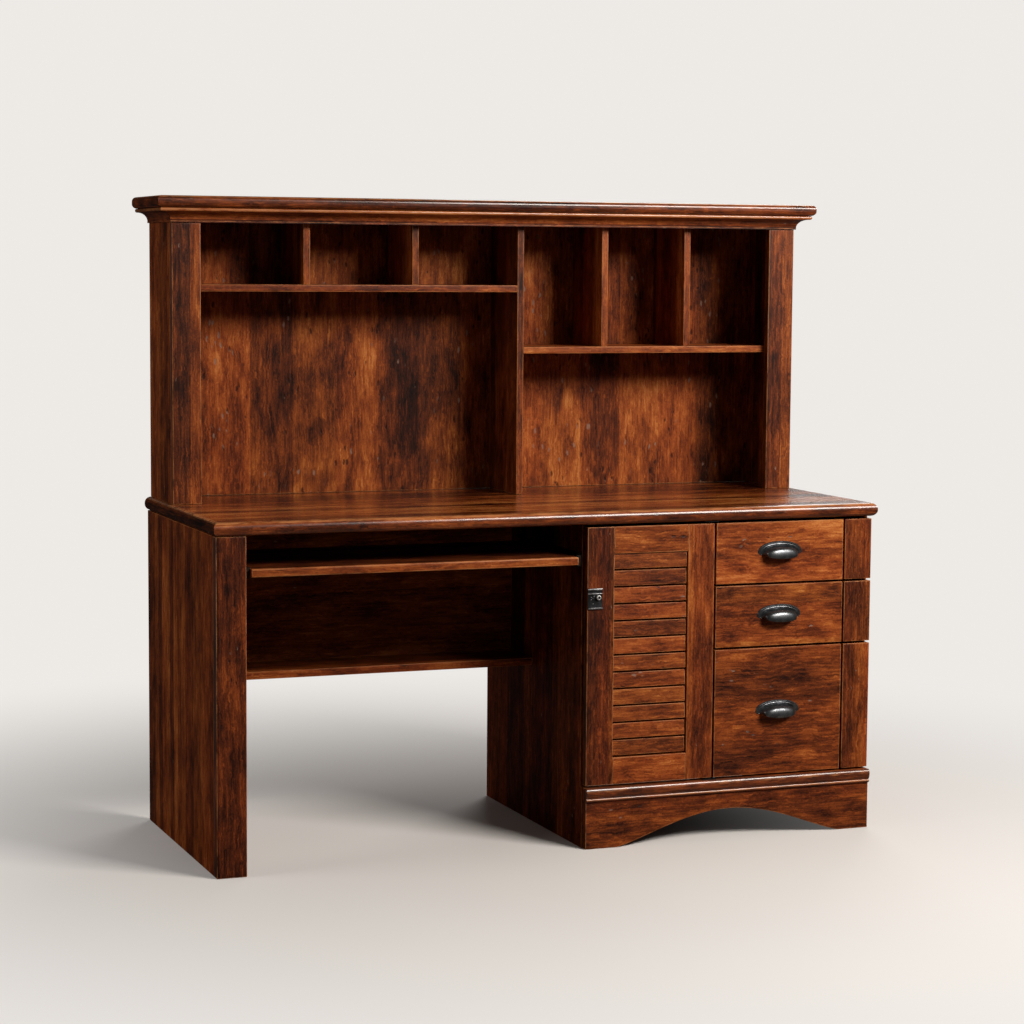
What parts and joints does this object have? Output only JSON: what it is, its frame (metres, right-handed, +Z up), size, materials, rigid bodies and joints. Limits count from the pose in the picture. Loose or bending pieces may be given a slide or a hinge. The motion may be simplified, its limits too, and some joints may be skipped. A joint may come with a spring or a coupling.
{
  "type": "computer desk",
  "caption": "Cherry-look computer desk with a pull-out keyboard tray, louvred door, drawer stack, arched plinth and a shelved hutch with a crown moulding.",
  "frame": {"origin": "on the floor, under the centre of the whole desk's box", "axes": "+X to the right seen from the front, +Y towards the back, +Z up"},
  "size_m": [1.6306, 0.653, 1.4573],
  "materials": {
    "cherry": "antiqued cherry woodgrain, satin gloss",
    "back_board": "dark printed hardboard, matt",
    "drawer_board": "plain wrapped board, matt",
    "slide_steel": "zinc plated",
    "pewter": "dark antiqued pewter, semi-gloss",
    "black_iron": "black enamel",
    "bright_nickel": "polished nickel"
  },
  "bodies": {
    "desk": {"crown_front": "cherry", "crown_left_return": "cherry", "crown_right_return": "cherry", "desk_top": "cherry", "door_lower_pivot": "black_iron", "door_upper_pivot": "black_iron", "hutch_back": "back_board", "hutch_centre_divider": "cherry", "hutch_left_inner_cubby_divider": "cherry", "hutch_left_outer_cubby_divider": "cherry", "hutch_left_panel": "cherry", "hutch_left_shelf": "cherry", "hutch_left_stile": "cherry", "hutch_right_inner_cubby_divider": "cherry", "hutch_right_outer_cubby_divider": "cherry", "hutch_right_panel": "cherry", "hutch_right_shelf": "cherry", "hutch_right_stile": "cherry", "hutch_top": "cherry", "kneehole_ledge": "cherry", "left_end_panel": "cherry", "left_front_stile": "cherry", "lower_drawer_left_runner": "slide_steel", "lower_drawer_right_runner": "slide_steel", "middle_drawer_left_runner": "slide_steel", "middle_drawer_right_runner": "slide_steel", "modesty_panel": "cherry", "pedestal_back": "back_board", "pedestal_bottom": "cherry", "pedestal_left_panel": "cherry", "pedestal_partition": "cherry", "pedestal_right_panel": "cherry", "plinth_apron": "cherry", "plinth_moulding": "cherry", "tray_left_outer_rail": "slide_steel", "tray_right_outer_rail": "slide_steel", "upper_drawer_left_runner": "slide_steel", "upper_drawer_right_runner": "slide_steel"},
    "tray": {"keyboard_tray": "cherry", "tray_left_inner_rail": "slide_steel", "tray_right_inner_rail": "slide_steel"},
    "door": {"door_left_stile": "cherry", "door_right_stile": "cherry", "door_top_rail": "cherry", "door_bottom_rail": "cherry", "door_louvre_panel": "cherry", "latch_plate": "black_iron"},
    "knob": {"latch_knob": "bright_nickel"},
    "upper_drawer": {"upper_drawer_front": "cherry", "upper_drawer_end_stile": "cherry", "upper_drawer_box": "drawer_board", "upper_drawer_pull": "pewter"},
    "middle_drawer": {"middle_drawer_front": "cherry", "middle_drawer_end_stile": "cherry", "middle_drawer_box": "drawer_board", "middle_drawer_pull": "pewter"},
    "lower_drawer": {"lower_drawer_front": "cherry", "lower_drawer_end_stile": "cherry", "lower_drawer_box": "drawer_board", "lower_drawer_pull": "pewter"}
  },
  "joints": [
    {"name": "keyboard_tray_slide", "type": "slide", "parent": "desk", "child": "tray", "axis": [0, -1, 0], "range_m": [0, 0.3]},
    {"name": "upper_drawer_slide", "type": "slide", "parent": "desk", "child": "upper_drawer", "axis": [0, -1, 0], "range_m": [0, 0.4]},
    {"name": "middle_drawer_slide", "type": "slide", "parent": "desk", "child": "middle_drawer", "axis": [0, -1, 0], "range_m": [0, 0.4]},
    {"name": "lower_drawer_slide", "type": "slide", "parent": "desk", "child": "lower_drawer", "axis": [0, -1, 0], "range_m": [0, 0.4]},
    {"name": "door_hinge", "type": "hinge", "parent": "desk", "child": "door", "pos_m": [0.3731, -0.2925, 0.4357], "axis": [0, 0, 1], "range_deg": [0, 90]},
    {"name": "latch_turn", "type": "hinge", "parent": "door", "child": "knob", "pos_m": [0.0935, -0.2985, 0.5705], "axis": [0, 1, 0], "range_deg": [0, 90]}
  ]
}
